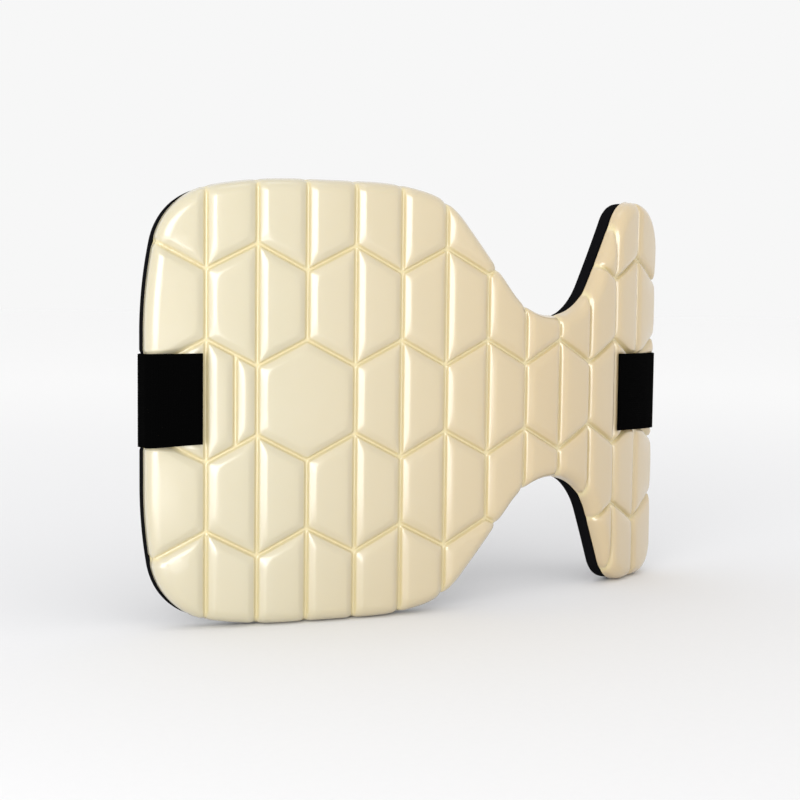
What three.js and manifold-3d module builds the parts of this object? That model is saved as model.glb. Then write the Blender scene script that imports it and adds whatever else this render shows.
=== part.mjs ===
// A chest guard for sport: a moulded cell facing on a padded fabric backing, with one elastic strap
// round both ends. It stands on its lower long edge, its outer face towards -Y, and +Z is up.
// All sizes are in millimetres and all angles in degrees.
//
// The pad is first built flat. There, x is the place along the pad from its middle, y is the height
// from the pad's centre line, and z is the distance out from the floor of the grooves. It is then
// bent about upright axes behind it, gently along the broad lobe and more tightly along the tail.
import * as THREE from "three";
import { mergeVertices } from "three/addons/utils/BufferGeometryUtils.js";
import Module from "manifold-3d";

// Outline of the facing, laid flat. Each corner of the lobe is a tight arc that eases out at both
// sides, and so is the shoulder's start. The lower half is a little squarer than the upper one.
const PAD_LENGTH = 386.8;
const PAD_HEIGHT = 255.4;
const LOBE_CORNER_RADIUS = 41;
const LOBE_EASE_RADIUS = 260;
const LOBE_EASE_TURN = { upper: 11.5, lower: 9.5 };
const SHOULDER_RADIUS = 50;
const SHOULDER_EASE_RADIUS = 150;
const SHOULDER_EASE_TURN = 13;
const SHOULDER_SLOPE = 49.5; // of the edge that falls from the lobe to the neck
const NECK_FROM_TAIL_END = 125.7; // the neck's narrowest place, from the tail's end
const NECK_HEIGHT = 102.5;
const NOTCH_RADIUS = 45;
const TAIL_SLOPE = { upper: 57.5, lower: 65 }; // of the edge that rises from the neck to the tip
const TAIL_TIP_RADIUS = 28;
const TAIL_CORNER_RADIUS = { upper: 32, lower: 22 };

// Bend of the whole pad, measured at the floor of the grooves
const LOBE_BEND_RADIUS = 740;
const TAIL_BEND_RADIUS = 310;

// Cells moulded into the facing
const COLUMNS = 13;
const COLUMN_PITCH = 28.9;
const ROW_PITCH = 54.2;
const ZIGZAG_RISE = 15; // from a zigzag's low corners to its high ones
const ROWS = 5;
const CELL_DEPTH = 4; // from the groove's floor to the cell's top
const GROOVE_WIDTH = 2.2; // at its floor
const SHOULDER_WIDTH = 4.6; // of the rounded side of a cell, seen from the front
const CELL_CORNER_RADIUS = 2.4;
const WHOLE_CELL_COLUMN = 3; // the right half of the one undivided cell, in the middle row
const SPLIT_COLUMN = 1; // the middle row's cell with one more groove, down its middle
const CELLS_ABOVE_MIDDLE = 1.6; // the middle row's centre, above the outline's

// Thicknesses
const FACING_BASE = 6; // foam under the grooves
const RIM_LAND = 2.2; // height of the facing's upright edge, below its rounded rim
const RIM_WIDTH = 8; // of the rounded rim, seen from the front
const BACKING_THICKNESS = 8;
const BACKING_LIP = 1.2; // how far the backing stands out past the facing
const BACKING_EDGE_RADIUS = 3;

// Elastic strap
const STRAP_WIDTH = 50;
const STRAP_THICKNESS = 1.5;
const STRAP_OVER_LOBE = 32.5; // strap on the outer face at the lobe's end, from the pad's end
const STRAP_OVER_TAIL = 61.5; // and at the tail's end

const SEAT_GAP = 0.3; // between pieces that touch

const CREAM = "#e6dcc0";
const BACKING_BLACK = "#17171a";
const STRAP_BLACK = "#0b0b0c";

const halfLength = PAD_LENGTH / 2;
const halfHeight = PAD_HEIGHT / 2;
const radians = THREE.MathUtils.degToRad;

const wasm = await Module();
wasm.setup();

// Points of a round stretch, each with the outline's outward normal. A hollow stretch has its centre
// outside the pad, so its normals point at the centre.
function roundStretch(centre, radius, from, to, steps, hollow = false) {
  return Array.from({ length: steps + 1 }, (_, i) => {
    const angle = radians(from + ((to - from) * i) / steps);
    const out = new THREE.Vector2(Math.cos(angle), Math.sin(angle));
    return { at: out.clone().multiplyScalar(radius).add(centre), out: hollow ? out.negate() : out };
  });
}

// One half of the facing's outline, from the lobe's end to the tail's end, drawn as the upper one
// about the outline's own middle. The notch's circle is set by the neck, and the two sloping lines
// that leave it set the tight arcs that they run into.
function halfOutline(half) {
  const slope = { shoulder: radians(SHOULDER_SLOPE), tail: radians(TAIL_SLOPE[half]) };
  const notch = new THREE.Vector2(halfLength - NECK_FROM_TAIL_END, NECK_HEIGHT / 2 + NOTCH_RADIUS);
  const besideNotch = (radius, y, angle, side) => {
    const across = NOTCH_RADIUS + radius;
    const along = (across - (notch.y - y) * Math.cos(angle)) / Math.sin(angle);
    return new THREE.Vector2(notch.x + side * along, y);
  };

  const ease = LOBE_EASE_TURN[half];
  const spare = LOBE_EASE_RADIUS - LOBE_CORNER_RADIUS;
  const inFrom = LOBE_EASE_RADIUS - spare * Math.cos(radians(ease));
  const corner = new THREE.Vector2(-halfLength + inFrom, halfHeight - inFrom);
  const easeShift = spare * Math.sin(radians(ease));
  const sideEase = new THREE.Vector2(-halfLength + LOBE_EASE_RADIUS, corner.y - easeShift);
  const edgeEase = new THREE.Vector2(corner.x + easeShift, halfHeight - LOBE_EASE_RADIUS);

  const shoulderSpare = SHOULDER_EASE_RADIUS - SHOULDER_RADIUS;
  const shoulderTurn = radians(SHOULDER_EASE_TURN);
  const shoulderY = halfHeight - SHOULDER_EASE_RADIUS + shoulderSpare * Math.cos(shoulderTurn);
  const shoulder = besideNotch(SHOULDER_RADIUS, shoulderY, slope.shoulder, -1);
  const shoulderEase = new THREE.Vector2(
    shoulder.x - shoulderSpare * Math.sin(shoulderTurn),
    halfHeight - SHOULDER_EASE_RADIUS,
  );

  const tip = besideNotch(TAIL_TIP_RADIUS, halfHeight - TAIL_TIP_RADIUS, slope.tail, 1);
  const tailRadius = TAIL_CORNER_RADIUS[half];
  const tailCorner = new THREE.Vector2(halfLength - tailRadius, halfHeight - tailRadius);
  return [
    ...roundStretch(sideEase, LOBE_EASE_RADIUS, 180, 180 - ease, 2),
    ...roundStretch(corner, LOBE_CORNER_RADIUS, 180 - ease, 90 + ease, 6).slice(1),
    ...roundStretch(edgeEase, LOBE_EASE_RADIUS, 90 + ease, 90, 2).slice(1),
    ...roundStretch(shoulderEase, SHOULDER_EASE_RADIUS, 90, 90 - SHOULDER_EASE_TURN, 2),
    ...roundStretch(shoulder, SHOULDER_RADIUS, 90 - SHOULDER_EASE_TURN, 90 - SHOULDER_SLOPE, 3).slice(1),
    ...roundStretch(notch, NOTCH_RADIUS, 270 - SHOULDER_SLOPE, 270 + TAIL_SLOPE[half], 10, true),
    ...roundStretch(tip, TAIL_TIP_RADIUS, 90 + TAIL_SLOPE[half], 90, 5),
    ...roundStretch(tailCorner, tailRadius, 90, 0, 6),
  ];
}

// The whole outline, anticlockwise from the front: the lower half forwards, then the upper half back
const stretches = halfOutline("upper").length;
const outline = [
  ...halfOutline("lower").map(({ at, out }) => ({
    at: new THREE.Vector2(at.x, -at.y - CELLS_ABOVE_MIDDLE),
    out: new THREE.Vector2(out.x, -out.y),
  })),
  ...halfOutline("upper")
    .reverse()
    .map(({ at, out }) => ({ at: new THREE.Vector2(at.x, at.y - CELLS_ABOVE_MIDDLE), out })),
];

// A flat solid through rings of the outline, each { inset, level }, from the back to the front. Both
// caps run in strips from the lower edge to the upper one, so that they can follow the bend.
function outlineSolid(rings) {
  const n = outline.length;
  const positions = rings.flatMap(({ inset, level }) =>
    outline.flatMap(({ at, out }) => [at.x - out.x * inset, at.y - out.y * inset, level]),
  );
  const faces = [];
  for (let r = 0; r < rings.length - 1; r += 1) {
    for (let i = 0; i < n; i += 1) {
      const [a, b] = [r * n + i, r * n + ((i + 1) % n)];
      faces.push(a, b, b + n, a, b + n, a + n);
    }
  }
  const front = (rings.length - 1) * n;
  for (let i = 0; i < stretches - 1; i += 1) {
    const [low, lowNext, high, highNext] = [i, i + 1, n - 1 - i, n - 2 - i];
    faces.push(low, highNext, lowNext, low, high, highNext);
    faces.push(front + low, front + lowNext, front + highNext);
    faces.push(front + low, front + highNext, front + high);
  }
  return solidFrom(positions, faces);
}

function solidFrom(positions, faces) {
  const geometry = new THREE.BufferGeometry();
  geometry.setAttribute("position", new THREE.Float32BufferAttribute(positions, 3));
  geometry.setIndex(faces);
  return solidOf(geometry);
}

function solidOf(geometry) {
  const bare = new THREE.BufferGeometry();
  bare.setAttribute("position", geometry.getAttribute("position").clone());
  bare.setIndex(geometry.getIndex());
  const merged = mergeVertices(bare, 1e-4);
  return new wasm.Manifold(
    new wasm.Mesh({
      numProp: 3,
      vertProperties: new Float32Array(merged.getAttribute("position").array),
      triVerts: new Uint32Array(merged.getIndex().array),
    }),
  );
}

// The zigzag between two rows, counted from the pad's centre line: 1 and 2 above it, -1 and -2 below
const columnLine = (k) => (k - COLUMNS / 2) * COLUMN_PITCH;

function zigzagHeight(zigzag, k) {
  const middle = (Math.abs(zigzag) - 0.5) * ROW_PITCH;
  const high = (k + Math.abs(zigzag)) % 2 === 0 ? 1 : -1;
  return Math.sign(zigzag) * (middle + (high * ZIGZAG_RISE) / 2);
}

// Corners of the cell between two column lines, anticlockwise, with outer cells run out past the edge
function cellCorners(row, from, to) {
  const past = 2 * RIM_WIDTH + CELLS_ABOVE_MIDDLE;
  const lines = [];
  for (let k = Math.ceil(from); k <= to; k += 1) lines.push(k);
  if (from % 1 !== 0) lines.unshift(from);
  if (to % 1 !== 0) lines.push(to);
  const heightAt = (zigzag, k) => {
    if (Math.abs(zigzag) > ROWS / 2) return Math.sign(zigzag) * (halfHeight + past);
    const low = Math.floor(k);
    return THREE.MathUtils.lerp(zigzagHeight(zigzag, low), zigzagHeight(zigzag, low + 1), k - low);
  };
  const place = (k) => {
    if (k <= 0) return -halfLength - past;
    if (k >= COLUMNS) return halfLength + past;
    return columnLine(k);
  };
  // Rows are 2, 1, 0, -1 and -2 from the top, and the middle row lies between zigzags -1 and 1
  const upper = row >= 0 ? row + 1 : row;
  const lower = row > 0 ? row : row - 1;
  const bottom = lines.map((k) => new THREE.Vector2(place(k), heightAt(lower, k)));
  const top = lines.map((k) => new THREE.Vector2(place(k), heightAt(upper, k))).reverse();
  return [...bottom, ...top];
}

// A convex outline moved in by a distance, with its corners rounded in three points each. A rounding
// takes no more than its share of a short side.
function insetRounded(corners, inset, radius) {
  const n = corners.length;
  const sides = corners.map((a, i) => {
    const along = corners[(i + 1) % n].clone().sub(a).normalize();
    const inward = new THREE.Vector2(-along.y, along.x);
    return { start: a.clone().addScaledVector(inward, inset), along };
  });
  const moved = sides.map((side, i) => {
    const before = sides[(i + n - 1) % n];
    const offset = side.start.clone().sub(before.start);
    const share = offset.cross(side.along) / before.along.cross(side.along);
    return before.start.clone().addScaledVector(before.along, share);
  });
  return moved.flatMap((corner, i) => {
    const back = moved[(i + n - 1) % n].clone().sub(corner);
    const on = moved[(i + 1) % n].clone().sub(corner);
    const halfTurn = (Math.PI - back.angleTo(on)) / 2;
    const reach = Math.min(radius * Math.tan(halfTurn), 0.4 * back.length(), 0.4 * on.length());
    const enter = back.setLength(reach).add(corner);
    const leave = on.setLength(reach).add(corner);
    const middle = enter.clone().add(leave).multiplyScalar(0.25).addScaledVector(corner, 0.5);
    return [enter, middle, leave];
  });
}

// One raised cell: rings from inside the foam up over its rounded shoulder to its flat top
function cellSolid(corners) {
  const floor = GROOVE_WIDTH / 2;
  const shoulder = [
    { across: 0, up: -0.25 },
    { across: 0, up: 0 },
    { across: 0.35, up: 0.72 },
    { across: 1, up: 1 },
  ];
  const rings = shoulder.map(({ across, up }) => ({
    level: up * CELL_DEPTH,
    points: insetRounded(corners, floor + across * SHOULDER_WIDTH, CELL_CORNER_RADIUS),
  }));
  const n = rings[0].points.length;
  const positions = [];
  for (const { points, level } of rings) for (const p of points) positions.push(p.x, p.y, level);
  const faces = [];
  for (let r = 0; r < rings.length - 1; r += 1) {
    for (let i = 0; i < n; i += 1) {
      const [a, b] = [r * n + i, r * n + ((i + 1) % n)];
      faces.push(a, b, b + n, a, b + n, a + n);
    }
  }
  const top = (rings.length - 1) * n;
  const rim = (ring) => rings[ring].points.map((p) => new THREE.Vector2(p.x, p.y));
  for (const [a, b, c] of THREE.ShapeUtils.triangulateShape(rim(0), [])) faces.push(a, c, b);
  for (const [a, b, c] of THREE.ShapeUtils.triangulateShape(rim(rings.length - 1), [])) {
    faces.push(top + a, top + b, top + c);
  }
  return solidFrom(positions, faces);
}

// The facing's rim: an upright land, then a quarter of an ellipse over to the cells' tops
function facingRim() {
  const rise = FACING_BASE + CELL_DEPTH - RIM_LAND;
  const steps = 4;
  const rings = [{ inset: 0, level: -FACING_BASE }];
  for (let i = 0; i <= steps; i += 1) {
    const t = (Math.PI / 2) * (i / steps);
    rings.push({
      inset: RIM_WIDTH * (1 - Math.cos(t)),
      level: -FACING_BASE + RIM_LAND + rise * Math.sin(t),
    });
  }
  rings.push({ inset: RIM_WIDTH, level: 2 * CELL_DEPTH });
  return rings;
}

function flatFacing() {
  const long = PAD_LENGTH + 4 * RIM_WIDTH;
  const tall = PAD_HEIGHT + 4 * RIM_WIDTH;
  const slab = new THREE.BoxGeometry(long, tall, 2 * FACING_BASE);
  slab.translate(0, 0, -FACING_BASE);
  let moulded = solidOf(slab);
  const middleRow = (ROWS - 1) / 2;
  for (let row = -middleRow; row <= middleRow; row += 1) {
    for (let k = 0; k < COLUMNS; k += 1) {
      const whole = row === 0 && k === WHOLE_CELL_COLUMN - 1;
      if (row === 0 && k === WHOLE_CELL_COLUMN) continue;
      const cuts = row === 0 && k === SPLIT_COLUMN ? [k, k + 0.5, k + 1] : [k, whole ? k + 2 : k + 1];
      for (let i = 0; i < cuts.length - 1; i += 1) {
        moulded = moulded.add(cellSolid(cellCorners(row, cuts[i], cuts[i + 1])));
      }
    }
  }
  return moulded.intersect(outlineSolid(facingRim()));
}

// The backing, seated behind the facing, with its rear edge rounded. Its lip is pressed level with the
// facing along the lower edge, where the guard stands on it.
function flatBacking() {
  const front = -FACING_BASE - SEAT_GAP;
  const back = front - BACKING_THICKNESS;
  const round = [0, 45, 90].map((degrees) => ({
    inset: BACKING_EDGE_RADIUS * (1 - Math.sin(radians(degrees))) - BACKING_LIP,
    level: back + BACKING_EDGE_RADIUS * (1 - Math.cos(radians(degrees))),
  }));
  const lip = new THREE.BoxGeometry(2 * PAD_LENGTH, 2 * BACKING_LIP, 4 * (BACKING_THICKNESS - back));
  lip.translate(0, -halfHeight - CELLS_ABOVE_MIDDLE - BACKING_LIP, 0);
  return outlineSolid([...round, { inset: -BACKING_LIP, level: front }]).subtract(solidOf(lip));
}

// The bend: where a point of the flat pad goes, seen from above, before the pad is turned square. It
// runs straight between stations, which are the column lines and the places halfway between them.
function atStation(station, out) {
  const along = columnLine(station / 2);
  const radius = along < 0 ? LOBE_BEND_RADIUS : TAIL_BEND_RADIUS;
  const turn = along / radius;
  return new THREE.Vector2((radius + out) * Math.sin(turn), radius - (radius + out) * Math.cos(turn));
}

function bent(along, out) {
  const station = 2 * (along / COLUMN_PITCH + COLUMNS / 2);
  const before = THREE.MathUtils.clamp(Math.floor(station), -1, 2 * COLUMNS);
  return atStation(before, out).lerp(atStation(before + 1, out), station - before);
}

// Cuts each triangle that crosses the upright plane at a place, so that the bend can follow the arc
function cutAt(mesh, place) {
  const { points } = mesh;
  const near = 1e-4;
  const side = points.map((p) => (Math.abs(p.x - place) < near ? 0 : Math.sign(p.x - place)));
  const crossings = new Map();
  const crossing = (a, b) => {
    const [low, high] = a < b ? [a, b] : [b, a];
    const key = `${low},${high}`;
    if (!crossings.has(key)) {
      const share = (place - points[low].x) / (points[high].x - points[low].x);
      crossings.set(key, points.length);
      points.push(points[low].clone().lerp(points[high], share));
    }
    return crossings.get(key);
  };
  const faces = [];
  for (const face of mesh.faces) {
    const sides = face.map((v) => side[v]);
    if (!(sides.includes(1) && sides.includes(-1))) {
      faces.push(face);
      continue;
    }
    const odd = sides.indexOf(0);
    if (odd >= 0) {
      const [a, b, c] = [face[odd], face[(odd + 1) % 3], face[(odd + 2) % 3]];
      const m = crossing(b, c);
      faces.push([a, b, m], [a, m, c]);
      continue;
    }
    const alone = sides.findIndex((s) => sides.filter((other) => other === s).length === 1);
    const [a, b, c] = [face[alone], face[(alone + 1) % 3], face[(alone + 2) % 3]];
    const [ab, ca] = [crossing(a, b), crossing(c, a)];
    faces.push([a, ab, ca], [ab, b, c], [ab, c, ca]);
  }
  return { points, faces };
}

// A flat solid's geometry after the bend, cut at every station
function bentGeometry(solid) {
  const raw = solid.getMesh();
  let mesh = { points: [], faces: [] };
  for (let i = 0; i < raw.numVert; i += 1) {
    mesh.points.push(new THREE.Vector3().fromArray(raw.vertProperties, i * raw.numProp));
  }
  for (let i = 0; i < raw.triVerts.length; i += 3) mesh.faces.push([...raw.triVerts.slice(i, i + 3)]);
  for (let station = 0; station <= 2 * COLUMNS; station += 1) mesh = cutAt(mesh, columnLine(station / 2));
  const positions = mesh.points.flatMap((p) => {
    const plan = bent(p.x, p.z);
    return [plan.x, plan.y, p.y];
  });
  const geometry = new THREE.BufferGeometry();
  geometry.setAttribute("position", new THREE.Float32BufferAttribute(positions, 3));
  geometry.setIndex(mesh.faces.flat());
  geometry.computeVertexNormals();
  return geometry;
}

// The strap's middle line at one end, seen from above, from its end on the outer face round the rim
// and the backing's edge. side is -1 at the lobe and 1 at the tail.
function strapRoundEnd(side, overFace) {
  const clear = SEAT_GAP + STRAP_THICKNESS / 2;
  const path = [];
  const add = (beyondEnd, out) => path.push(bent(side * (halfLength + beyondEnd), out));
  const top = CELL_DEPTH + clear;
  const flat = overFace - RIM_WIDTH;
  const flatSteps = Math.ceil(flat / (COLUMN_PITCH / 2));
  for (let i = 0; i < flatSteps; i += 1) add(-overFace + (flat * i) / flatSteps, top);
  const rise = FACING_BASE + CELL_DEPTH - RIM_LAND;
  for (const degrees of [90, 65, 40, 18]) {
    const t = radians(degrees);
    const out = new THREE.Vector2(rise * Math.cos(t), RIM_WIDTH * Math.sin(t)).setLength(clear);
    add(-RIM_WIDTH * (1 - Math.cos(t)) + out.x, -FACING_BASE + RIM_LAND + rise * Math.sin(t) + out.y);
  }
  add(BACKING_LIP + clear, -FACING_BASE);
  const back = -FACING_BASE - SEAT_GAP - BACKING_THICKNESS;
  const corner = { beyond: BACKING_LIP - BACKING_EDGE_RADIUS, out: back + BACKING_EDGE_RADIUS };
  for (const degrees of [0, 30, 60]) {
    const t = radians(degrees);
    const reach = BACKING_EDGE_RADIUS + clear;
    add(corner.beyond + reach * Math.cos(t), corner.out - reach * Math.sin(t));
  }
  return path;
}

// Both ends and the straight stretch behind the pad that joins them
function strapPath() {
  return [
    ...strapRoundEnd(-1, STRAP_OVER_LOBE),
    ...strapRoundEnd(1, STRAP_OVER_TAIL).reverse(),
  ];
}

function strapGeometry() {
  const path = strapPath();
  const half = STRAP_THICKNESS / 2;
  const sideways = path.map((p, i) => {
    const before = path[Math.max(0, i - 1)];
    const after = path[Math.min(path.length - 1, i + 1)];
    const inOne = p.clone().sub(before).normalize();
    const outOne = after.clone().sub(p).normalize();
    const along = inOne.clone().add(outOne).normalize();
    const mitre = half / Math.max(0.5, inOne.lengthSq() > 0 && outOne.lengthSq() > 0 ? along.dot(inOne) : 1);
    return new THREE.Vector2(-along.y, along.x).multiplyScalar(mitre);
  });
  const left = path.map((p, i) => p.clone().add(sideways[i]));
  const right = path.map((p, i) => p.clone().sub(sideways[i])).reverse();
  const shape = new THREE.Shape([...left, ...right]);
  const geometry = new THREE.ExtrudeGeometry(shape, { depth: STRAP_WIDTH, bevelEnabled: false });
  geometry.translate(0, 0, -STRAP_WIDTH / 2);
  return geometry;
}

function piece(name, geometry, color, roughness) {
  const material = new THREE.MeshStandardMaterial({ color, roughness, metalness: 0 });
  const mesh = new THREE.Mesh(geometry, material);
  mesh.name = name;
  return mesh;
}

// The pad is turned so that the strap's straight stretch runs along X, and set down with the middle
// of its bounding box over the origin.
function standing() {
  const turned = new THREE.Group();
  turned.add(piece("moulded_facing", bentGeometry(flatFacing()), CREAM, 0.35));
  turned.add(piece("padded_backing", bentGeometry(flatBacking()), BACKING_BLACK, 0.95));
  turned.add(piece("elastic_strap", strapGeometry(), STRAP_BLACK, 0.85));
  const lobeEnd = strapRoundEnd(-1, STRAP_OVER_LOBE).at(-1);
  const tailEnd = strapRoundEnd(1, STRAP_OVER_TAIL).at(-1);
  turned.rotation.z = -tailEnd.clone().sub(lobeEnd).angle();
  const guard = new THREE.Group();
  guard.add(turned);
  guard.updateMatrixWorld(true);
  const box = new THREE.Box3().setFromObject(guard, true);
  const middle = box.getCenter(new THREE.Vector3());
  turned.position.set(-middle.x, -middle.y, -box.min.z);
  return guard;
}

export default standing();
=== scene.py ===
import math

import bmesh
import bpy
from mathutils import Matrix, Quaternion, Vector, geometry, kdtree


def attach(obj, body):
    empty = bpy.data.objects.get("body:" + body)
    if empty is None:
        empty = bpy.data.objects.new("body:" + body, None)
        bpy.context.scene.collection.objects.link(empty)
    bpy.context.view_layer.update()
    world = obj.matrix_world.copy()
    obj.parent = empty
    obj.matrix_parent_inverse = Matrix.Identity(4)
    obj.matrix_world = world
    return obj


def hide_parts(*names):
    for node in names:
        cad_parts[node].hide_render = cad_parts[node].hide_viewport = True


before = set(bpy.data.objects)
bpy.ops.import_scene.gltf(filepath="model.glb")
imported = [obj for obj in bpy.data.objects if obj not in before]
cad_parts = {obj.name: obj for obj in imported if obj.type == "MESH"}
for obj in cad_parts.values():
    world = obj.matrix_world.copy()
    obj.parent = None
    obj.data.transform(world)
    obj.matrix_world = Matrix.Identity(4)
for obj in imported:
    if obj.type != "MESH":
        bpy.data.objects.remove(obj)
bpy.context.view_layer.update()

# A chest guard of moulded foam, seen from its front: a glossy cream facing with raised cells, a black
# padded backing and a black elastic strap. Sizes are in millimetres until they become mesh, and the
# flat pad is laid out as in the part's source: x along it, y up it, z out from the grooves' floor.

MM = 0.001

# ---------------------------------------------------------------- sizes shared with the solids

PAD_LENGTH = 386.8
PAD_HEIGHT = 255.4
LOBE_CORNER_RADIUS = 41
LOBE_EASE_RADIUS = 260
LOBE_EASE_TURN = {"upper": 11.5, "lower": 9.5}
SHOULDER_RADIUS = 50
SHOULDER_EASE_RADIUS = 150
SHOULDER_EASE_TURN = 13
SHOULDER_SLOPE = 49.5
NECK_FROM_TAIL_END = 125.7
NECK_HEIGHT = 102.5
NOTCH_RADIUS = 45
TAIL_SLOPE = {"upper": 57.5, "lower": 65}
TAIL_TIP_RADIUS = 28
TAIL_CORNER_RADIUS = {"upper": 32, "lower": 22}

LOBE_BEND_RADIUS = 740
TAIL_BEND_RADIUS = 310
PAD_TURN = -4.93207  # degrees, from the bent pad's own axes to the frame's
PAD_SHIFT = Vector((1.5403, -25.557, 129.3))

COLUMNS = 13
COLUMN_PITCH = 28.9
ROW_PITCH = 54.2
ZIGZAG_RISE = 15
ROWS = 5
CELL_DEPTH = 4
WHOLE_CELL_COLUMN = 3
SPLIT_COLUMN = 1
SPLIT_SHARE = 0.57
SHOULDER_COLUMN = 7  # the outer rows' cells run over this line, where the shoulder leaves no room
CELLS_ABOVE_MIDDLE = 1.6

FACING_BASE = 6
RIM_LAND = 2.2
RIM_WIDTH = 8
BACKING_THICKNESS = 8
BACKING_EDGE_RADIUS = 3
STRAP_WIDTH = 50
STRAP_THICKNESS = 1.5
STRAP_OVER = {"lobe": 32.5, "tail": 61.5}  # how far in from the pad's end each cut end lies
SEAT_GAP = 0.3

# ---------------------------------------------------------------- sizes of the finer forms

CORNER_POWER = {"lobe": 2.4, "tail": 2}  # the lower, the rounder a cell's corners
# A cell's side, from the groove's middle line: a steep foot, then a wide slope of about 30 degrees
# that eases onto the flat top. The tail's cells are steeper and rounder. Each row is a distance and
# the slope there.
SHOULDER_SLOPES = {
    "lobe": ((0.45, 0), (0.75, 2.2), (1.15, 2.4), (1.6, 0.7), (4.1, 0.52), (6, 0)),
    "tail": ((0.35, 0), (0.6, 2.1), (1.5, 2.1), (2.2, 0.6), (4.1, 0.25), (6, 0)),
}
SHOULDER_END = 6
TAIL_FORM = (45, 115)  # where along the pad the lobe's form of cell turns into the tail's
CELL_CROWN = 0.4  # a cell's middle above its shoulders
CROWN_REACH = 4  # how far in from the shoulders the crown has mostly risen
FLOOR_RIM_WIDTH = 5  # how far in a groove's floor reaches its full level from the rim
RIM_DRAFT = 0.5  # the upright edge leans in by this much
NOTCH_DEPTH = 1.2  # how far a groove's end draws the rim in
NOTCH_HALF_WIDTH = 3.4
NOTCH_SHARPNESS = 1.3  # 1 for a straight-sided notch, more for a pinched one
GROOVE_SHADE_WIDTH = 2.2  # how far from its middle line a groove gets painted shade
# The upright edge below the rim, row by row: its level, how far it is drawn in, and how much of a
# groove's notch is left there
UPRIGHT_EDGE = ((-4.2, 0.42, 0.85), (-5, 0.2, 0.65), (-5.6, 0, 0.5), (-5.85, 0.1, 0.4), (-6, 0.6, 0.4))
BACK_STEP = 9  # between points of the facing's flat back
# The backing shows along the edges that face the lobe's side and draws back behind the others
LIP_SHOWN = 2
LIP_DRAWN_BACK = -1.1
LIP_AT_TAIL_END = 0.4
LIP_TURN = (0.1, 0.95)  # how far an edge faces the lobe's side where its lip starts and is full
TAIL_END_FACING = 0.6  # an edge that faces the other side by more than this is the tail's end
FRONT_EDGE_RADIUS = 0.8  # of the backing
STRIP = 7  # the backing's faces are cut this narrow before it is bent
OUTLINE_STEP = 1.1
SIDE_STEP = 0.9
PAST_RIM = 2 * RIM_WIDTH  # outer cells run out this far beyond the outline
# Distances in from a cell's outline and from the rim at which the mesh has a line of points
CELL_RINGS = (0, 0.42, 0.7, 0.98, 1.28, 1.6, 2.05, 2.8, 3.5, 4.1, 4.7, 5.3, 5.9, 7.2, 9)
RIM_RINGS = (0, 0.3, 0.8, 1.5, 2.4, 3.5, 4.8, 6.2, 7.6, 9)
# Of the points along a cell's side, only every fourth stays where it is far from the rim and from
# the corners. The stretch near a corner is counted in points, and grows with the distance in.
THINNED_TO = 4
THINNED_FROM_RIM = 10
CORNER_CROWD = (2, 1.3)
FILL_STEP = 3.4
NEAREST = 0.27  # no two points of the facing's layout lie closer
# The strap is drawn tight: it presses into the foam, spreads a little at the rim and isn't quite
# level. Heights are of its middle line above the pad's own.
PRESS = 1.1
PRESS_FADE = (0.3, 3.5)  # beside the strap, where the pressed foam starts to recover and has
STRAP_WIDTHS = {"cut end": 50.4, "rim": 51.8, "behind": 50}
STRAP_HEIGHTS = {"lobe": {"cut end": 1.4, "rim": 0}, "tail": {"cut end": -0.8, "rim": -2}}
RIB_PITCH = 1.4  # of the elastic's lengthwise ribs
RIB_DEPTH = 0.16
RIB_ROWS = 4  # of faces to a rib
STRAP_STEP = 1.4  # along the strap's bent ends
STEPS_BEHIND = 40
TURN_STEP = 9  # degrees, where the strap turns round the rim and the backing's edge
UPRIGHT_LEVELS = (-6, -8, -9.6)  # between the two turns
# Behind the pad the strap narrows again, in lengths of its stretch over the face, and its height
# goes from one end's to the other's, in shares of the whole route
NARROWS = (1.3, 3)
HEIGHT_CHANGES = (0.08, 0.85)

half_length = PAD_LENGTH / 2
half_height = PAD_HEIGHT / 2
land_level = -FACING_BASE + RIM_LAND


# ---------------------------------------------------------------- the pad's outline and its bend


def around(centre, radius, start, end, hollow=False):
    """Points of a round stretch, each with its outward normal."""
    steps = max(2, math.ceil(radius * math.radians(abs(end - start)) / OUTLINE_STEP))
    points = []
    for i in range(steps + 1):
        angle = math.radians(start + (end - start) * i / steps)
        out = Vector((math.cos(angle), math.sin(angle)))
        points.append((Vector(centre) + out * radius, -out if hollow else out))
    return points


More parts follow.
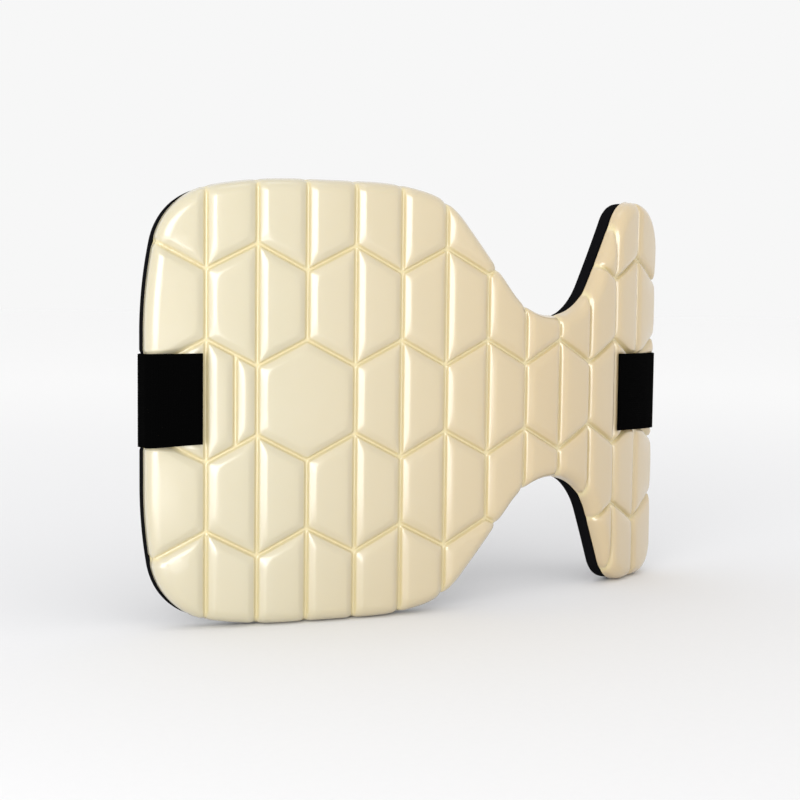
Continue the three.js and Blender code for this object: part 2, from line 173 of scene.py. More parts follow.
def half_outline(half):
    """One half of the outline, drawn as the upper one, from the lobe's end to the tail's end."""
    shoulder_slope = math.radians(SHOULDER_SLOPE)
    tail_slope = math.radians(TAIL_SLOPE[half])
    notch = Vector((half_length - NECK_FROM_TAIL_END, NECK_HEIGHT / 2 + NOTCH_RADIUS))

    def beside_notch(radius, y, angle, side):
        across = NOTCH_RADIUS + radius - (notch.y - y) * math.cos(angle)
        return Vector((notch.x + side * across / math.sin(angle), y))

    ease = LOBE_EASE_TURN[half]
    spare = LOBE_EASE_RADIUS - LOBE_CORNER_RADIUS
    in_from = LOBE_EASE_RADIUS - spare * math.cos(math.radians(ease))
    ease_shift = spare * math.sin(math.radians(ease))
    corner = Vector((in_from - half_length, half_height - in_from))
    side_ease = (LOBE_EASE_RADIUS - half_length, corner.y - ease_shift)
    edge_ease = (corner.x + ease_shift, half_height - LOBE_EASE_RADIUS)

    spare = SHOULDER_EASE_RADIUS - SHOULDER_RADIUS
    turn = math.radians(SHOULDER_EASE_TURN)
    shoulder_y = half_height - SHOULDER_EASE_RADIUS + spare * math.cos(turn)
    shoulder = beside_notch(SHOULDER_RADIUS, shoulder_y, shoulder_slope, -1)
    shoulder_ease = (shoulder.x - spare * math.sin(turn), half_height - SHOULDER_EASE_RADIUS)

    tip = beside_notch(TAIL_TIP_RADIUS, half_height - TAIL_TIP_RADIUS, tail_slope, 1)
    tail = TAIL_CORNER_RADIUS[half]
    return [
        *around(side_ease, LOBE_EASE_RADIUS, 180, 180 - ease),
        *around(corner, LOBE_CORNER_RADIUS, 180 - ease, 90 + ease),
        *around(edge_ease, LOBE_EASE_RADIUS, 90 + ease, 90),
        *around(shoulder_ease, SHOULDER_EASE_RADIUS, 90, 90 - SHOULDER_EASE_TURN),
        *around(shoulder, SHOULDER_RADIUS, 90 - SHOULDER_EASE_TURN, 90 - SHOULDER_SLOPE),
        *around(notch, NOTCH_RADIUS, 270 - SHOULDER_SLOPE, 270 + TAIL_SLOPE[half], hollow=True),
        *around(tip, TAIL_TIP_RADIUS, 90 + TAIL_SLOPE[half], 90),
        *around((half_length - tail, half_height - tail), tail, 90, 0),
    ]


def whole_outline():
    """The outline anticlockwise from the front, with the straight stretches cut into short steps."""
    drop = Vector((0, -CELLS_ABOVE_MIDDLE))
    corners = [(Vector((p.x, -p.y)) + drop, Vector((n.x, -n.y))) for p, n in half_outline("lower")]
    corners += [(p + drop, n) for p, n in reversed(half_outline("upper"))]
    points = []
    for (a, normal_a), (b, normal_b) in zip(corners, corners[1:] + corners[:1]):
        steps = round((b - a).length / OUTLINE_STEP)
        if (b - a).length < 0.01:
            continue
        for i in range(max(1, steps)):
            t = i / max(1, steps)
            points.append((a.lerp(b, t), normal_a.lerp(normal_b, t).normalized()))
    return points


OUTLINE = whole_outline()


def bend(along, up, out):
    """Where a point of the flat pad goes in the frame, in metres."""
    radius = LOBE_BEND_RADIUS if along < 0 else TAIL_BEND_RADIUS
    turn = along / radius
    x = (radius + out) * math.sin(turn)
    y = radius - (radius + out) * math.cos(turn)
    c, s = math.cos(math.radians(PAD_TURN)), math.sin(math.radians(PAD_TURN))
    return (Vector((c * x - s * y, s * x + c * y, up)) + PAD_SHIFT) * MM


# ---------------------------------------------------------------- small helpers for modelling


def start_edit(obj):
    bpy.ops.object.select_all(action="DESELECT")
    obj.select_set(True)
    bpy.context.view_layer.objects.active = obj
    bpy.ops.object.mode_set(mode="EDIT")
    bpy.ops.mesh.select_all(action="DESELECT")
    bpy.ops.object.mode_set(mode="OBJECT")
    return obj.data


def operate(obj, operator, **settings):
    """Runs one edit-mode operator on what is selected."""
    bpy.context.view_layer.objects.active = obj
    bpy.ops.object.mode_set(mode="EDIT")
    operator(**settings)
    bpy.ops.object.mode_set(mode="OBJECT")


def primitive(name, operator, **settings):
    bpy.ops.object.select_all(action="DESELECT")
    operator(**settings)
    obj = bpy.context.object
    obj.name = obj.data.name = name
    return obj


def modify(obj, kind, **settings):
    bpy.ops.object.select_all(action="DESELECT")
    obj.select_set(True)
    bpy.context.view_layer.objects.active = obj
    made = obj.modifiers.new(kind.title(), kind)
    for key, value in settings.items():
        setattr(made, key, value)
    bpy.ops.object.modifier_apply(modifier=made.name)


def smooth(obj, angle):
    bpy.ops.object.select_all(action="DESELECT")
    obj.select_set(True)
    bpy.context.view_layer.objects.active = obj
    bpy.ops.object.shade_smooth_by_angle(angle=math.radians(angle))


def colour(code):
    """A hex sRGB colour, made linear."""
    parts = [int(code[i : i + 2], 16) / 255 for i in (1, 3, 5)]
    return [p / 12.92 if p <= 0.04045 else ((p + 0.055) / 1.055) ** 2.4 for p in parts] + [1]


def node(tree, kind, settings=None, **inputs):
    """Adds a node with its settings, and links or sets its inputs."""
    made = tree.nodes.new(kind)
    for key, value in (settings or {}).items():
        setattr(made, key, value)
    for key, value in inputs.items():
        spot = int(key[1:]) if key[0] == "_" else key.replace("_", " ")
        if isinstance(value, bpy.types.NodeSocket):
            tree.links.new(value, made.inputs[spot])
        else:
            made.inputs[spot].default_value = value
    return made


def new_material(name):
    material = bpy.data.materials.new(name)
    material.use_nodes = True
    tree = material.node_tree
    return material, tree, tree.nodes["Principled BSDF"]


# ---------------------------------------------------------------- the facing's relief


def eased_step(value, start, end):
    """0 up to the start, 1 from the end on, and an even S between them."""
    t = min(max((value - start) / (end - start), 0), 1)
    return t * t * (3 - 2 * t)


def column_line(k):
    """Where along the pad a line between columns lies."""
    return (k - COLUMNS / 2) * COLUMN_PITCH


def zigzag_height(zigzag, k):
    """The height of a zigzag groove's corner. Those above the middle row are 1 and 2."""
    middle = (abs(zigzag) - 0.5) * ROW_PITCH
    rise = ZIGZAG_RISE / 2 if (k + abs(zigzag)) % 2 == 0 else -ZIGZAG_RISE / 2
    return math.copysign(middle + rise, zigzag)


def zigzag_at(zigzag, x):
    place = x / COLUMN_PITCH + COLUMNS / 2
    low = math.floor(place)
    a, b = zigzag_height(zigzag, low), zigzag_height(zigzag, low + 1)
    return a + (b - a) * (place - low)


def row_cuts(row):
    """The lines between a row's cells, counted in columns."""
    cuts = set(range(COLUMNS + 1))
    if row == 0:
        cuts = cuts - {WHOLE_CELL_COLUMN} | {SPLIT_COLUMN + SPLIT_SHARE}
    if abs(row) == OUTER_ROW:
        cuts.discard(SHOULDER_COLUMN)
    return sorted(cuts)


OUTER_ROW = (ROWS - 1) // 2
CUTS = {row: row_cuts(row) for row in range(-OUTER_ROW, OUTER_ROW + 1)}


def cell_of(x, y):
    """A point's row and the left and right lines of its cell. The middle row is row 0."""
    column = min(max(math.floor(x / COLUMN_PITCH + COLUMNS / 2), 0), COLUMNS - 1)
    row = 0
    for zigzag in range(1, OUTER_ROW + 1):
        if y > zigzag_at(zigzag, x):
            row = zigzag
        if y < zigzag_at(-zigzag, x):
            row = -zigzag
    left = max(cut for cut in CUTS[row][:-1] if cut <= column or column_line(cut) <= x)
    return row, left, CUTS[row][CUTS[row].index(left) + 1]


def groove_distance(x, y):
    """Distance to the nearest groove's middle line, rounded in each corner of the cell."""
    row, left, right = cell_of(x, y)
    sides = []
    if left > 0:
        sides.append(x - column_line(left))
    if right < COLUMNS:
        sides.append(column_line(right) - x)
    for zigzag, facing in ((row + 1 if row >= 0 else row, -1), (row if row > 0 else row - 1, 1)):
        if abs(zigzag) > ROWS / 2:
            continue
        for k in range(math.floor(left), math.ceil(right)):
            a, b = zigzag_height(zigzag, k), zigzag_height(zigzag, k + 1)
            slope = (b - a) / COLUMN_PITCH
            gap = facing * (y - a - slope * (x - column_line(k))) / math.hypot(1, slope)
            sides.append(gap)
    nearest = max(min(sides), 1e-6)
    change = CORNER_POWER["tail"] - CORNER_POWER["lobe"]
    power = CORNER_POWER["lobe"] + change * eased_step(x, *TAIL_FORM)
    return nearest * sum((nearest / max(side, nearest)) ** power for side in sides) ** (-1 / power)


outline_tree = kdtree.KDTree(len(OUTLINE))
for index, (point, normal) in enumerate(OUTLINE):
    outline_tree.insert((point.x, point.y, 0), index)
outline_tree.balance()


def rim_distance(x, y):
    """Distance in from the outline, and the outline's normal there. Outside it is negative."""
    _, index, _ = outline_tree.find((x, y, 0))
    point, normal = OUTLINE[index]
    return (point - Vector((x, y))).dot(normal), normal


def eased(distance, width):
    """A quarter of an ellipse: 0 at the rim, 1 from the width on."""
    t = min(max(distance / width, 0), 1)
    return math.sqrt(1 - (1 - t) ** 2)


def climbed(slopes, distance):
    """How high a table of slopes has come at a distance."""
    height = 0
    for (a, slope_a), (b, slope_b) in zip(slopes, slopes[1:]):
        reach = min(max(distance - a, 0), b - a)
        height += reach * (slope_a + (slope_b - slope_a) * reach / (b - a) / 2)
    return height


FULL_RISE = {part: climbed(slopes, SHOULDER_END) for part, slopes in SHOULDER_SLOPES.items()}


def risen(distance, tail):
    """The share of a cell's height that its side has reached at a distance from the groove's
    middle line, with the tail's form mixed in by its share."""
    lobe_part, tail_part = (
        climbed(SHOULDER_SLOPES[part], distance) / FULL_RISE[part] for part in ("lobe", "tail")
    )
    return lobe_part + (tail_part - lobe_part) * tail


def strap_height(part, inward):
    """The strap's middle line at a distance in from the lobe's or the tail's end."""
    heights = STRAP_HEIGHTS[part]
    return heights["rim"] + (heights["cut end"] - heights["rim"]) * min(max(inward / STRAP_OVER[part], 0), 1)


def pressed(x, y):
    """How much of the strap's press a point of the pad gets, from 0 to 1."""
    part = "lobe" if x < 0 else "tail"
    inward = half_length - abs(x)
    beside = max(abs(y - strap_height(part, inward)) - STRAP_WIDTH / 2, inward - STRAP_OVER[part])
    return 1 - eased_step(beside, *PRESS_FADE)


def relief(x, y):
    """The facing's level at a point, how far a groove's end draws the point in, and the groove's
    share of painted shade there, which colours it yellower."""
    groove = groove_distance(x, y)
    rim, normal = rim_distance(x, y)
    rim -= RIM_DRAFT
    rise = risen(groove, eased_step(x, *TAIL_FORM))
    under_strap = pressed(x, y)
    crown = CELL_CROWN * (1 - math.exp(-max(groove - SHOULDER_END, 0) / CROWN_REACH))
    crown *= 1 - under_strap
    top = land_level + (CELL_DEPTH + crown - land_level) * eased(rim, RIM_WIDTH)
    floor = land_level - land_level * eased(rim, FLOOR_RIM_WIDTH)
    near_rim = max(0, 1 - max(rim, 0) / RIM_WIDTH) ** 2
    notch = max(0, 1 - groove / NOTCH_HALF_WIDTH) ** NOTCH_SHARPNESS
    pull = normal * (-NOTCH_DEPTH * near_rim * notch)
    # Painted shade: the share of yellower colour down in a groove, where shade falls
    share = max(0, 1 - groove / GROOVE_SHADE_WIDTH)
    # The strap flattens the cells under it and squeezes the rim
    press = PRESS * under_strap
    pull -= normal * press * max(0, 1 - max(rim, 0) / RIM_WIDTH)
    level = floor + (top - floor) * rise
    return level - press * max(0, (level - land_level) / (CELL_DEPTH - land_level)), pull, share


def cell_corners(row, left, right):
    """Corners of a cell, anticlockwise. Outer cells run out past the rim."""
    lines = [left] + [k for k in range(math.floor(left) + 1, math.ceil(right))] + [right]

    def place(k):
        if k <= 0:
            return -half_length - PAST_RIM
        return half_length + PAST_RIM if k >= COLUMNS else column_line(k)

    def height(zigzag, k):
        if abs(zigzag) > ROWS / 2:
            return math.copysign(half_height + PAST_RIM, zigzag)
        return zigzag_at(zigzag, column_line(k))

    upper, lower = (row + 1 if row >= 0 else row), (row if row > 0 else row - 1)
    bottom = [Vector((place(k), height(lower, k))) for k in lines]
    return bottom + [Vector((place(k), height(upper, k))) for k in reversed(lines)]


def moved_in(corners, distance):
    """A convex outline moved in, or nothing where it has shrunk away."""
    count = len(corners)
    sides = []
    for i in range(count):
        along = (corners[(i + 1) % count] - corners[i]).normalized()
        sides.append((corners[i] + Vector((-along.y, along.x)) * distance, along))
    moved = []
    for i in range(count):
        (start, before), (point, along) = sides[i - 1], sides[i]
        turn = before.cross(along)
        if abs(turn) < 1e-6:
            moved.append(point)
            continue
        moved.append(start + before * ((point - start).cross(along) / turn))
    area = sum(moved[i - 1].cross(moved[i]) for i in range(count))
    return moved if area > 0 else []


def ring_points(corners, moved, distance):
    """Points along each side of a cell's outline moved in by a distance. They crowd near the
    corners, which get rounder with the distance, and near the rim."""
    count = len(corners)
    for side in range(count):
        a, b = moved[side], moved[(side + 1) % count]
        steps = max(1, round((corners[(side + 1) % count] - corners[side]).length / SIDE_STEP))
        crowd = CORNER_CROWD[0] + CORNER_CROWD[1] * distance
        chain = []
        for i in range(steps + 1):
            point = a.lerp(b, i / steps)
            rim = rim_distance(*point)[0] - RIM_DRAFT
            if rim < max(NEAREST, min(distance, RIM_WIDTH) / 2):
                continue
            from_end = min(i, steps - i)
            if rim > THINNED_FROM_RIM and from_end > crowd and from_end % THINNED_TO:
                continue
            chain.append(point)
        yield chain


def facing_layout():
    """Points of the flat facing, and the lines that its triangles must not cross: along the rim,
    along the grooves and the cells' sides, and thinly over the tops."""
    kept, grid, lines = [], {}, []
    longest = 2 * THINNED_TO * SIDE_STEP  # line along a side. A longer one would cross a notch

    def square_of(point):
        return math.floor(point.x / NEAREST), math.floor(point.y / NEAREST)

    def store(point):
        grid.setdefault(square_of(point), []).append(len(kept))
        kept.append(point)
        return len(kept) - 1

    def keep(point):
        """Stores a point, or finds the one that is already nearly there."""
        column, row = square_of(point)
        for i in (-1, 0, 1):
            for j in (-1, 0, 1):
                for other in grid.get((column + i, row + j), ()):
                    if (kept[other] - point).length < NEAREST:
                        return other
        return store(point)

    for point, normal in OUTLINE:
        store(point - normal * RIM_DRAFT)
    loop_count = len(kept)
    cells = []
    for row, cuts in CUTS.items():
        cells += [cell_corners(row, a, b) for a, b in zip(cuts, cuts[1:])]
    for distance in CELL_RINGS:
        for corners in cells:
            moved = moved_in(corners, distance)
            if not moved:
                continue
            for chain in ring_points(corners, moved, distance):
                indices = [keep(point) for point in chain]
                for a, b in zip(indices, indices[1:]):
                    if a != b and (kept[a] - kept[b]).length < longest:
                        lines.append((a, b))
    for inset in RIM_RINGS[1:]:
        for point, normal in OUTLINE:
            keep(point - normal * (RIM_DRAFT + inset))
    rows = math.ceil(half_height / FILL_STEP) + 1
    columns = math.ceil(half_length / FILL_STEP) + 1
    clear = CELL_RINGS[-1] + FILL_STEP / 2
    for j in range(-rows, rows + 1):
        for i in range(-columns, columns + 1):
            x, y = (i + (j % 2) / 2) * FILL_STEP, j * FILL_STEP
            if rim_distance(x, y)[0] > clear and groove_distance(x, y) > clear:
                keep(Vector((x, y)))
    return kept, loop_count, lines


def flat_faces(points, loop_count, lines=()):
    """Triangles over a closed loop, which comes first, and the points inside it."""
    edges = [(i, (i + 1) % loop_count) for i in range(loop_count)]
    places, _, faces, *_ = geometry.delaunay_2d_cdt(points, edges + list(lines), [], 1, 1e-6)
    return places, faces


def make_facing():
    """The moulded facing: relief over the front, a rounded rim, an upright land and a flat back."""
    layout, count, lines = facing_layout()
    points, faces = flat_faces(layout, count, lines)
    shape = bmesh.new()
    # This layer carries each point's share of the grooves' painted shade to the material
    groove_shade_layer = shape.verts.layers.float.new("groove")
    front = []
    for point in points:
        level, pull, share = relief(*point)
        placed = point + pull
        vert = shape.verts.new(bend(placed.x, placed.y, level))
        vert[groove_shade_layer] = share
        front.append(vert)
    for face in faces:
        shape.faces.new([front[i] for i in face])

    # The upright edge goes down to the back in steps. A groove's pull fades on the way.
    previous = front[:count]
    for level, inset, pull_left in UPRIGHT_EDGE:
        ring = []
        for (point, normal), start in zip(OUTLINE, points[:count]):
            _, pull, share = relief(*start)
            placed = point - normal * inset + pull * pull_left
            vert = shape.verts.new(bend(placed.x, placed.y, level))
            vert[groove_shade_layer] = share
            ring.append(vert)
        for i in range(count):
            j = (i + 1) % count
            shape.faces.new((previous[j], previous[i], ring[i], ring[j]))
        previous = ring
    back_loop = [point - normal * UPRIGHT_EDGE[-1][1] for point, normal in OUTLINE]
    across, up = (math.ceil(half / BACK_STEP) for half in (half_length, half_height))
    back_inner = [
        Vector((i * BACK_STEP, j * BACK_STEP))
        for i in range(-across, across + 1)
        for j in range(-up, up + 1)
        if rim_distance(i * BACK_STEP, j * BACK_STEP)[0] > BACK_STEP / 2
    ]
    back_points, back_faces = flat_faces(back_loop + back_inner, count)
    back = list(previous) + [
        shape.verts.new(bend(p.x, p.y, -FACING_BASE)) for p in back_points[count:]
    ]
    for face in back_faces:
        shape.faces.new([back[i] for i in reversed(face)])
    shape.normal_update()

    mesh = bpy.data.meshes.new("moulded_foam_facing")
    shape.to_mesh(mesh)
    shape.free()
    obj = bpy.data.objects.new("moulded_foam_facing", mesh)
    bpy.context.scene.collection.objects.link(obj)
    smooth(obj, 70)
    return obj


# ---------------------------------------------------------------- the backing


def backing_lip(normal):
    """How far the backing stands out past the facing, by which way its edge faces."""
    if normal.x > TAIL_END_FACING:
        return LIP_AT_TAIL_END
    return LIP_DRAWN_BACK + (LIP_SHOWN - LIP_DRAWN_BACK) * eased_step(-normal.x, *LIP_TURN)


def make_backing():
    """The padded backing: the outline with its lip, given its thickness, rounded at the rear edge,
    then cut into strips and bent."""
    count = len(OUTLINE)
    circle = bpy.ops.mesh.primitive_circle_add
    obj = primitive("padded_fabric_backing", circle, vertices=count, fill_type="NGON")
    floor = -half_height - CELLS_ABOVE_MIDDLE
    front = -FACING_BASE - SEAT_GAP
    for vert, (point, normal) in zip(obj.data.vertices, OUTLINE):
        placed = point + normal * (backing_lip(normal) - PRESS * pressed(*point))
        vert.co = (placed.x, max(placed.y, floor), front)
    mesh = start_edit(obj)
    for face in mesh.polygons:
        face.select = True
    operate(
        obj,
        bpy.ops.mesh.extrude_region_move,
        TRANSFORM_OT_translate={"value": (0, 0, -BACKING_THICKNESS)},
    )
    for level, radius, segments in (
        (front - BACKING_THICKNESS, BACKING_EDGE_RADIUS, 5),
        (front, FRONT_EDGE_RADIUS, 2),
    ):
        start_edit(obj)
        for edge in obj.data.edges:
            ends = [obj.data.vertices[i].co.z for i in edge.vertices]
            edge.select = all(abs(z - level) < 0.01 for z in ends)
        operate(obj, bpy.ops.mesh.bevel, offset=radius, segments=segments, profile=0.5)
    for axis, half in ((Vector((1, 0, 0)), half_length), (Vector((0, 1, 0)), half_height)):
        strips = math.floor(half / STRIP)
        for i in range(-strips, strips + 1):
            operate(obj, bpy.ops.mesh.select_all, action="SELECT")
            operate(obj, bpy.ops.mesh.bisect, plane_co=axis * i * STRIP, plane_no=axis)
    for vert in obj.data.vertices:
        vert.co = bend(vert.co.x, vert.co.y, vert.co.z)
    operate(obj, bpy.ops.mesh.select_all, action="SELECT")
    operate(obj, bpy.ops.mesh.normals_make_consistent, inside=False)
    smooth(obj, 50)
    return obj


# ---------------------------------------------------------------- the elastic strap


def strap_end(part):
    """The strap's outer face at the lobe's or the tail's end, from its cut end on the facing round
    to the straight stretch behind."""
    side = -1 if part == "lobe" else 1
    over_face = STRAP_OVER[part]
    proud = SEAT_GAP + STRAP_THICKNESS
    lip = backing_lip(Vector((side, 0))) - PRESS
    top = CELL_DEPTH - PRESS
    path = []

    def add(beyond, out):
        placed = bend(side * (half_length + beyond), 0, out)
        path.append(Vector((placed.x, placed.y)))

    flat = over_face - RIM_WIDTH
    for i in range(10):
        add(-over_face + flat * i / 10, top + proud)
    rise = top - land_level
    for i in range(9):
        t = math.radians(90 - TURN_STEP * i)
        out = Vector((rise * math.cos(t), RIM_WIDTH * math.sin(t))).normalized() * proud
        beyond = -RIM_WIDTH * (1 - math.cos(t)) - PRESS * math.cos(t)
        add(beyond + out.x, land_level + rise * math.sin(t) + out.y)
    for out in UPRIGHT_LEVELS:
        add(lip + proud, out)
    back = -FACING_BASE - SEAT_GAP - BACKING_THICKNESS
    reach = BACKING_EDGE_RADIUS + proud
    for i in range(8):
        t = math.radians(TURN_STEP * i)
        add(
            lip - BACKING_EDGE_RADIUS + reach * math.cos(t),
            back + BACKING_EDGE_RADIUS - reach * math.sin(t),
        )
    return path


def eased_path(path, step):
    """The path drawn again with equal steps on a curve through its points."""
    dense = []
    for i in range(len(path) - 1):
        a, b = path[max(i - 1, 0)], path[i]
        c, d = path[i + 1], path[min(i + 2, len(path) - 1)]
        for j in range(8):
            t = j / 8
            square, cube = 2 * a - 5 * b + 4 * c - d, 3 * b - a - 3 * c + d
            dense.append(0.5 * (2 * b + (c - a) * t + square * t**2 + cube * t**3))
    dense.append(path[-1])
    lengths = [0]
    for p, q in zip(dense, dense[1:]):
        lengths.append(lengths[-1] + (q - p).length)
    count = round(lengths[-1] / step)
    made, i = [], 0
    for k in range(count + 1):
        want = lengths[-1] * k / count
        while i < len(lengths) - 2 and lengths[i + 1] < want:
            i += 1
        span = lengths[i + 1] - lengths[i]
        made.append(dense[i].lerp(dense[i + 1], (want - lengths[i]) / span))
    return made


def make_strap():
    """The elastic band: a grid laid along its route, with ribs along it, given its thickness."""
    lobe = eased_path(strap_end("lobe"), STRAP_STEP * MM)
    tail = eased_path(strap_end("tail"), STRAP_STEP * MM)[::-1]
    behind = [lobe[-1].lerp(tail[0], i / STEPS_BEHIND) for i in range(1, STEPS_BEHIND)]
    path = lobe + behind + tail
    rows = round(STRAP_WIDTH / RIB_PITCH) * RIB_ROWS
    obj = primitive(
        "woven_elastic_strap",
        bpy.ops.mesh.primitive_grid_add,
        x_subdivisions=len(path) - 1,
        y_subdivisions=rows,
        size=2,
    )
    mesh = obj.data
    walked = [0]
    for p, q in zip(path, path[1:]):
        walked.append(walked[-1] + (q - p).length)
    normals = []
    for i, p in enumerate(path):
        along = (path[min(i + 1, len(path) - 1)] - path[max(i - 1, 0)]).normalized()
        normals.append(Vector((along.y, -along.x)))
    # Widths and heights along the route, from each end's cut edge to its rim and on to the back
    widths, heights = [], []
    for gone in walked:
        part = "lobe" if gone < walked[-1] / 2 else "tail"
        walk = min(gone, walked[-1] - gone)
        over = STRAP_OVER[part] * MM
        to_rim = eased_step(walk / over, 0, 1)
        to_back = eased_step(walk / over, *NARROWS)
        widths.append(
            STRAP_WIDTHS["cut end"]
            + (STRAP_WIDTHS["rim"] - STRAP_WIDTHS["cut end"]) * to_rim
            + (STRAP_WIDTHS["behind"] - STRAP_WIDTHS["rim"]) * to_back
        )
        if walk < over:
            heights.append(strap_height(part, (over - walk) / MM))
        else:
            start, end = (STRAP_HEIGHTS[key]["rim"] for key in ("lobe", "tail"))
            heights.append(start + (end - start) * eased_step(gone / walked[-1], *HEIGHT_CHANGES))
    columns = {}
    for vert in mesh.vertices:
        i = round((vert.co.x + 1) / 2 * (len(path) - 1))
        j = round((vert.co.y + 1) / 2 * rows)
        columns[vert.index] = (i, j)
        rib = abs(math.sin(math.pi * j / RIB_ROWS))
        edge = min(j, rows - j) / RIB_ROWS
        depth = RIB_DEPTH * MM * (rib * min(1, edge * 2 + 0.3) - 1)
        place = path[i] + normals[i] * depth
        up = PAD_SHIFT.z + heights[i] + (j / rows - 0.5) * widths[i]
        vert.co = (place.x, place.y, up * MM)
    sheet = mesh.uv_layers.active.data
    for loop in mesh.loops:
        i, j = columns[loop.vertex_index]
        sheet[loop.index].uv = (walked[i], j / rows * STRAP_WIDTH * MM)
    solid = (STRAP_THICKNESS - RIB_DEPTH) * MM
    modify(obj, "SOLIDIFY", thickness=solid, offset=1, use_even_offset=True)
    smooth(obj, 55)
    return obj


# ---------------------------------------------------------------- materials


def facing_material():
    """Polyurethane film moulded over dense foam: a soft pearly gloss, with painted shade that makes it
    yellower in the grooves and darker and more tan towards the tail."""
    material, tree, shader = new_material("pressed_polyurethane_film")
    place = node(tree, "ShaderNodeTexCoord").outputs["Object"]
    groove = node(tree, "ShaderNodeAttribute", {"attribute_name": "groove"}).outputs["Fac"]
    # Slow clouds about 50 mm across keep the cream from looking painted
    cloud = node(tree, "ShaderNodeTexNoise", Vector=place, Scale=1 / 0.05, Detail=3).outputs["Fac"]
    pale = node(
        tree, "ShaderNodeMix", {"data_type": "RGBA"}, _0=cloud, _6=colour("#bfb698"), _7=colour("#c4bba0")
    ).outputs[2]
    # Painted shade: the cream is darker and more tan towards the tail, where less of the key light falls
    along = node(tree, "ShaderNodeSeparateXYZ", Vector=place).outputs["X"]
    tail_shade = node(tree, "ShaderNodeMapRange", Value=along, From_Min=-0.12, From_Max=0.06).outputs[0]
    cream = node(
        tree, "ShaderNodeMix", {"data_type": "RGBA"}, _0=tail_shade, _6=pale, _7=colour("#c5b089")
    ).outputs[2]
    # Painted shade in the grooves: the cream turns yellower where the groove layer is high
    depth = node(tree, "ShaderNodeMath", {"operation": "POWER"}, _0=groove, _1=1.1).outputs[0]
    groove_shaded = node(
        tree, "ShaderNodeMix", {"data_type": "RGBA"}, _0=depth, _6=cream, _7=colour("#d6c796")
    ).outputs[2]
    tree.links.new(groove_shaded, shader.inputs["Base Color"])
    # The film's faint orange peel is 2.5 mm across, over a skin grain of 0.5 mm
    peel = node(tree, "ShaderNodeTexNoise", Vector=place, Scale=1 / 0.0025, Detail=2).outputs["Fac"]
    skin = node(tree, "ShaderNodeTexNoise", Vector=place, Scale=1 / 0.0005, Detail=1).outputs["Fac"]
    both = node(tree, "ShaderNodeMath", {"operation": "MULTIPLY_ADD"}, _0=skin, _1=0.25, _2=peel).outputs[0]
    bump = node(tree, "ShaderNodeBump", Strength=0.25, Distance=0.00008, Height=both).outputs["Normal"]
    tree.links.new(bump, shader.inputs["Normal"])
    rough = node(
        tree, "ShaderNodeMapRange", Value=cloud, From_Min=0.3, From_Max=0.7, To_Min=0.28, To_Max=0.33
    ).outputs[0]
    tree.links.new(rough, shader.inputs["Roughness"])
    shader.inputs["IOR"].default_value = 1.5
    shader.inputs["Coat Weight"].default_value = 1
    shader.inputs["Coat Roughness"].default_value = 0.15
    shader.inputs["Specular IOR Level"].default_value = 1
    shader.inputs["Subsurface Weight"].default_value = 0.12
    shader.inputs["Subsurface Radius"].default_value = (0.004, 0.003, 0.0015)
    return material


def backing_material():
    """Brushed polyester tricot on foam: a dull charcoal black with a soft nap."""
    material, tree, shader = new_material("brushed_tricot")
    place = node(tree, "ShaderNodeTexCoord").outputs["Object"]
    nap = node(tree, "ShaderNodeTexNoise", Vector=place, Scale=1 / 0.0007, Detail=4).outputs["Fac"]
    cloud = node(tree, "ShaderNodeTexNoise", Vector=place, Scale=1 / 0.02, Detail=3).outputs["Fac"]
    both = node(tree, "ShaderNodeMath", {"operation": "MULTIPLY_ADD"}, _0=cloud, _1=0.5, _2=nap).outputs[0]
    tone = node(
        tree, "ShaderNodeMix", {"data_type": "RGBA"}, _0=both, _6=colour("#070708"), _7=colour("#111113")
    ).outputs[2]
    tree.links.new(tone, shader.inputs["Base Color"])
    bump = node(tree, "ShaderNodeBump", Strength=0.7, Distance=0.0003, Height=both).outputs["Normal"]
    tree.links.new(bump, shader.inputs["Normal"])
    shader.inputs["Roughness"].default_value = 0.95
    shader.inputs["IOR"].default_value = 1.46
    shader.inputs["Specular IOR Level"].default_value = 0.015
    return material


def strap_material():
    """Woven polyester and rubber elastic: near black, with fine picks across its ribs."""
    material, tree, shader = new_material("woven_elastic")
    sheet = node(tree, "ShaderNodeUVMap").outputs["UV"]
    # One pick every 0.9 mm along the band, coarser than real so that it shows
    picks = node(
        tree,
        "ShaderNodeTexWave",
        {"wave_type": "BANDS", "bands_direction": "X", "wave_profile": "SIN"},
        Vector=sheet,
        Scale=math.pi / 10 / 0.0009,
        Distortion=0.6,
    ).outputs["Fac"]
    fibre = node(tree, "ShaderNodeTexNoise", Vector=sheet, Scale=1 / 0.0006, Detail=3).outputs["Fac"]
    both = node(tree, "ShaderNodeMath", {"operation": "MULTIPLY_ADD"}, _0=fibre, _1=0.6, _2=picks).outputs[0]
    tone = node(
        tree, "ShaderNodeMix", {"data_type": "RGBA"}, _0=both, _6=colour("#010101"), _7=colour("#040404")
    ).outputs[2]
    tree.links.new(tone, shader.inputs["Base Color"])
    bump = node(tree, "ShaderNodeBump", Strength=0.6, Distance=0.00012, Height=both).outputs["Normal"]
    tree.links.new(bump, shader.inputs["Normal"])
    shader.inputs["Roughness"].default_value = 0.85
    shader.inputs["IOR"].default_value = 1.45
    shader.inputs["Specular IOR Level"].default_value = 0.008
    return material


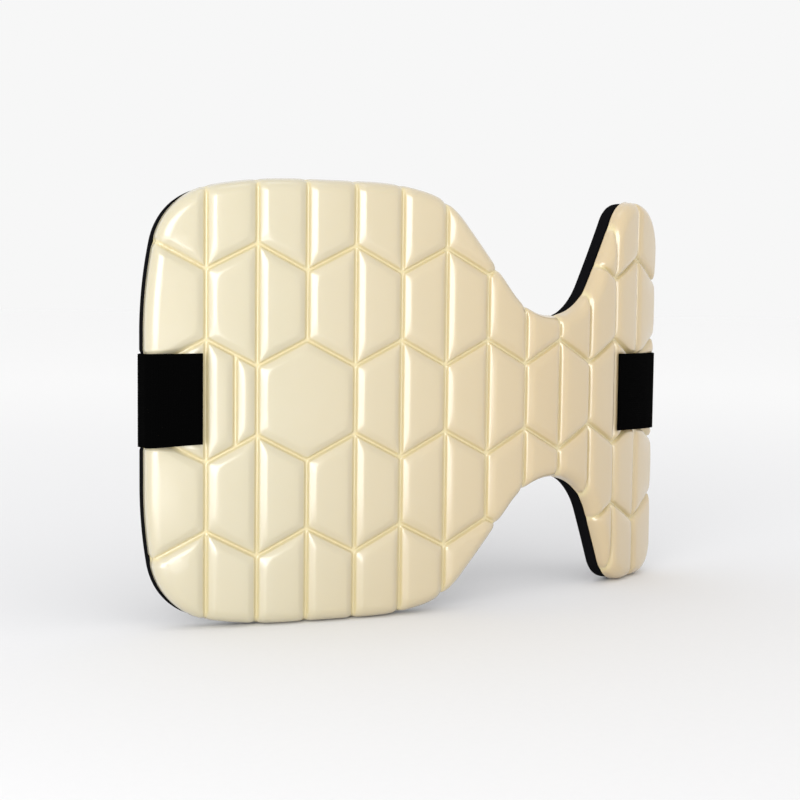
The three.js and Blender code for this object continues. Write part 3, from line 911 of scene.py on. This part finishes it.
def floor_material():
    """Matt white studio card."""
    material, tree, shader = new_material("matt_studio_card")
    place = node(tree, "ShaderNodeTexCoord").outputs["Object"]
    tooth = node(tree, "ShaderNodeTexNoise", Vector=place, Scale=1 / 0.004, Detail=2).outputs["Fac"]
    near = node(
        tree, "ShaderNodeMix", {"data_type": "RGBA"}, _0=tooth, _6=colour("#dfdfe1"), _7=colour("#e2e2e4")
    ).outputs[2]
    # Painted light: the card is painted paler away from the lamps, where their light falls off, so that it
    # meets the wall without a line
    reach = node(tree, "ShaderNodeVectorMath", {"operation": "LENGTH"}, _0=place).outputs["Value"]
    far = node(
        tree,
        "ShaderNodeMapRange",
        {"interpolation_type": "SMOOTHERSTEP"},
        Value=reach,
        From_Min=-1.5,
        From_Max=3,
    ).outputs[0]
    tone = node(
        tree, "ShaderNodeMix", {"data_type": "RGBA"}, _0=far, _6=near, _7=colour("#ffffff")
    ).outputs[2]
    tree.links.new(tone, shader.inputs["Base Color"])
    shader.inputs["Roughness"].default_value = 0.9
    return material


# ---------------------------------------------------------------- the pieces

facing = make_facing()
backing = make_backing()
strap = make_strap()

for piece, material, slot, cad_node in (
    (facing, facing_material(), "facing", "moulded_facing"),
    (backing, backing_material(), "backing", "padded_backing"),
    (strap, strap_material(), "strap", "elastic_strap"),
):
    piece.data.materials.clear()
    piece.data.materials.append(material)
    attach(piece, "root")
    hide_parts(cad_node)

# ---------------------------------------------------------------- the studio

CAMERA_PLACE = (-0.45372, -0.68722, 0.18311)
CAMERA_HEADING = -31.703  # degrees about Z, from looking along +Y
CAMERA_TILT = -3.983  # below the level
CAMERA_ROLL = 0.651
CAMERA_LENS = 60.1

camera_data = bpy.data.cameras.new("camera")
camera_data.lens = CAMERA_LENS
camera_data.sensor_width = 36
camera = bpy.data.objects.new("camera", camera_data)
bpy.context.scene.collection.objects.link(camera)
camera.location = CAMERA_PLACE
camera.rotation_mode = "QUATERNION"
camera.rotation_quaternion = (
    Quaternion((0, 0, 1), math.radians(CAMERA_HEADING))
    @ Quaternion((1, 0, 0), math.radians(90 + CAMERA_TILT))
    @ Quaternion((0, 0, 1), math.radians(CAMERA_ROLL))
)
bpy.context.scene.camera = camera


def area_light(name, place, aim, size, power):
    data = bpy.data.lights.new(name, "AREA")
    data.shape = "RECTANGLE"
    data.size, data.size_y = size
    data.energy = power
    light = bpy.data.objects.new(name, data)
    bpy.context.scene.collection.objects.link(light)
    light.visible_camera = False
    light.location = place
    light.rotation_mode = "QUATERNION"
    light.rotation_quaternion = (Vector(aim) - Vector(place)).to_track_quat("-Z", "Y")


# A key from the front left with a weaker one round it, a card on the floor that lights the lower
# cells' sides, and a little from overhead
PAD_MIDDLE = (0, 0, 0.12)
area_light("key_softbox", (-1.72, -1.6, 0.62), PAD_MIDDLE, (1.7, 1.45), 30)
area_light("key_fill", (-1.85, -1.66, 0.47), PAD_MIDDLE, (2.2, 2), 6)
area_light("floor_card", (-0.42, -0.26, 0.004), (-0.36, -0.22, 0.2), (0.5, 0.4), 1.6)
area_light("overhead", (0, -0.2, 2.5), PAD_MIDDLE, (0.8, 0.8), 1.5)

world = bpy.data.worlds.new("studio")
bpy.context.scene.world = world
world.use_nodes = True
world.node_tree.nodes["Background"].inputs["Color"].default_value = colour("#f7f7f7")
world.node_tree.nodes["Background"].inputs["Strength"].default_value = 1
bpy.context.scene.view_settings.view_transform = "Standard"

FLOOR_RADIUS = 40
disc = bpy.ops.mesh.primitive_circle_add
floor = primitive("studio_floor", disc, vertices=96, radius=1, fill_type="TRIFAN")
for vert in floor.data.vertices:
    vert.co *= FLOOR_RADIUS
floor.data.materials.append(floor_material())
